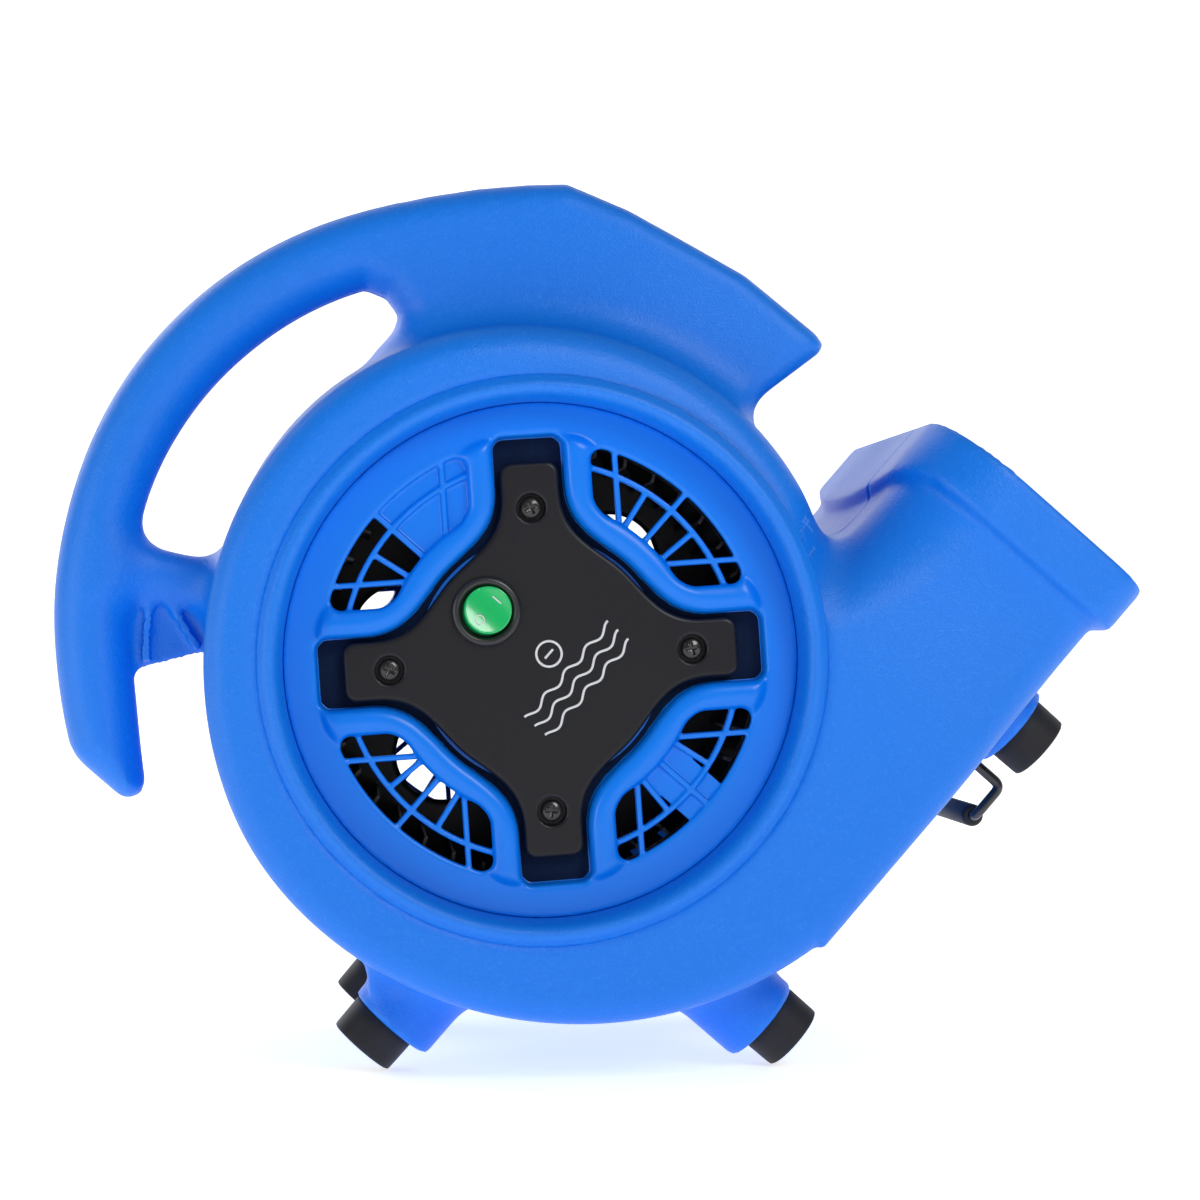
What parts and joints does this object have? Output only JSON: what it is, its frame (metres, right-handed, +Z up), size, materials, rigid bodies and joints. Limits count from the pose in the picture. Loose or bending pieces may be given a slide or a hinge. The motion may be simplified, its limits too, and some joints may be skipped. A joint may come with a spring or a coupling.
{
  "type": "centrifugal air mover",
  "caption": "Small scroll-housed carpet blower on rubber feet, with an arched carrying handle, two round inlets, a cage wheel and a wide outlet.",
  "frame": {"origin": "centre of the bounding box on the floor, in the tilted stance on four foot corners", "axes": "+Y along the wheel's axis away from the ion switch side, +X to the outlet side, +Z up"},
  "size_m": [0.3644, 0.218, 0.3014],
  "materials": {
    "shell_blue": "moulded, fine grain",
    "grille_blue": "moulded, smooth satin",
    "cover_black": "moulded, satin",
    "wheel_black": "moulded, satin",
    "rubber_black": "moulded rubber",
    "switch_black": "gloss",
    "rocker_green": "gloss, lit green",
    "ivory_plastic": "matt",
    "potting_grey": "matt",
    "white_button": "gloss",
    "screw_steel": "zinc plated",
    "shaft_steel": "ground",
    "motor_alloy": "cast",
    "core_steel": "laminated",
    "winding_copper": "enamelled winding on laminations",
    "wire_black": "coated wire"
  },
  "bodies": {
    "housing": {"front_housing_shell": "shell_blue", "rear_housing_shell": "shell_blue", "housing_screws": "screw_steel", "front_inlet_grille": "grille_blue", "rear_inlet_grille": "grille_blue", "front_cover_plate": "cover_black", "front_cover_screws": "wire_black", "rear_cover_plate": "cover_black", "rear_cover_screws": "wire_black", "ion_switch_body": "switch_black", "ioniser_module": "potting_grey", "ion_emitter": "screw_steel", "run_capacitor": "ivory_plastic", "motor_stator": "winding_copper", "motor_can": "motor_alloy", "front_end_bell": "motor_alloy", "rear_end_bell": "motor_alloy", "front_bearing": "shaft_steel", "rear_bearing": "shaft_steel", "motor_bracket": "screw_steel", "motor_isolators": "rubber_black", "motor_bolts": "screw_steel", "terminal_block": "ivory_plastic", "speed_switch_body": "switch_black", "breaker_body": "switch_black", "cord_gland": "cover_black", "rear_rubber_feet": "rubber_black", "middle_rubber_feet": "rubber_black", "nose_rubber_feet": "rubber_black", "foot_screws": "screw_steel", "bail_clips": "cover_black"},
    "impeller": {"impeller_wheel": "wheel_black", "impeller_hub": "motor_alloy", "hub_set_screw": "screw_steel", "motor_shaft": "shaft_steel", "motor_rotor": "core_steel"},
    "ion_rocker": {"ion_switch_rocker": "rocker_green"},
    "knob": {"speed_knob": "cover_black"},
    "breaker": {"breaker_button": "white_button"},
    "bail": {"bail_wire": "wire_black", "bail_sleeve": "rubber_black"}
  },
  "joints": [
    {"name": "impeller_spin", "type": "hinge", "parent": "housing", "child": "impeller", "pos_m": [-0.0189, 0, 0.13959], "axis": [0, 1, 0], "continuous": true},
    {"name": "ion_rocker_tip", "type": "hinge", "parent": "housing", "child": "ion_rocker", "pos_m": [-0.03716, -0.0905, 0.15546], "axis": [-0.7547, 0, 0.6561], "range_deg": [-14, 0]},
    {"name": "speed_knob_turn", "type": "hinge", "parent": "housing", "child": "knob", "pos_m": [-0.0189, 0.096, 0.13959], "axis": [0, 1, 0], "range_deg": [0, 135]},
    {"name": "breaker_push", "type": "slide", "parent": "housing", "child": "breaker", "axis": [0, -1, 0], "range_m": [0, 0.002], "stiffness_N_per_m": 600},
    {"name": "bail_swing", "type": "hinge", "parent": "housing", "child": "bail", "pos_m": [0.13375, 0, 0.1056], "axis": [0, 1, 0], "range_deg": [-100, 0]}
  ]
}
